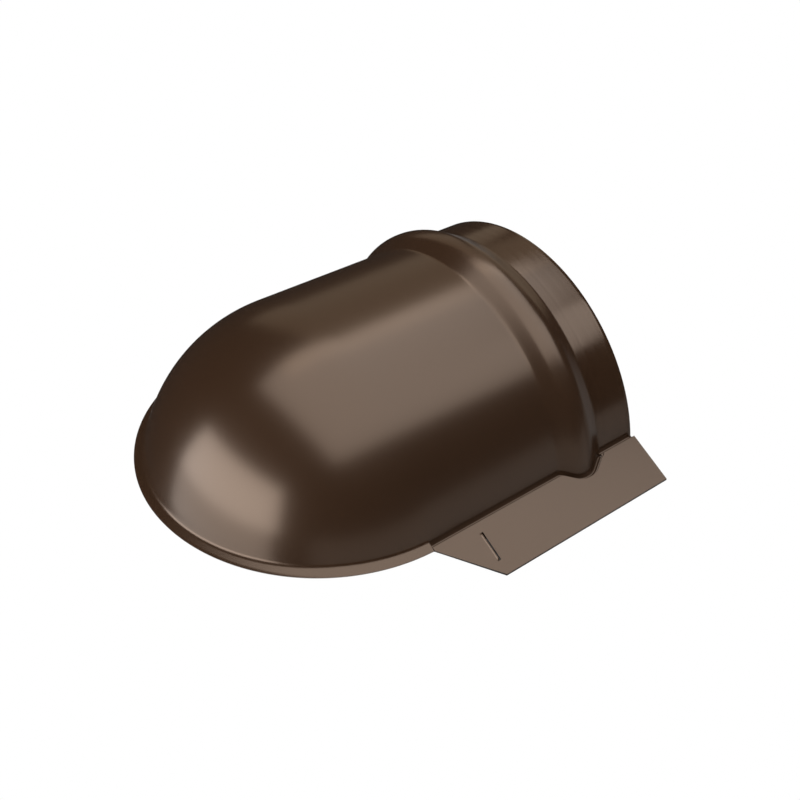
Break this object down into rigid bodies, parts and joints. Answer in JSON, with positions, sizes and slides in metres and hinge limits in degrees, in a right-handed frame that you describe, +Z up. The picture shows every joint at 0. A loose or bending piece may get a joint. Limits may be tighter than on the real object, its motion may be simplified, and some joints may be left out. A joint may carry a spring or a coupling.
{
  "type": "vent cowl",
  "caption": "Fixed half-round sheet-metal vent cowl: domed nose, raised bead, open collar, sloping side wings, bedding seals and a perforated guard across the mouth.",
  "frame": {"origin": "centre of the footprint, at the lowest point, which is the lower edge of the foam strips under the wings", "axes": "+Z up; the domed nose points to -Y and the open mouth to +Y; X runs across, from wing to wing"},
  "size_m": [0.2548, 0.2422, 0.1003],
  "materials": {
    "coat": "semi-gloss dark brown coil coating",
    "rubber": "matt black extruded rubber",
    "foam": "matt charcoal closed-cell foam rubber",
    "screen": "plain perforated stainless steel",
    "bracket": "pressed stainless steel",
    "fastener": "plain stainless steel"
  },
  "bodies": {
    "root": {"hood": "coat", "collar": "coat", "wing_right": "coat", "wing_left": "coat", "bead_seal": "rubber", "wing_seal_right": "foam", "wing_seal_left": "foam", "guard_screen": "screen", "guard_trim": "rubber", "guard_brackets": "bracket", "guard_screws": "fastener", "guard_washers": "fastener", "guard_nuts": "fastener"}
  },
  "joints": []
}
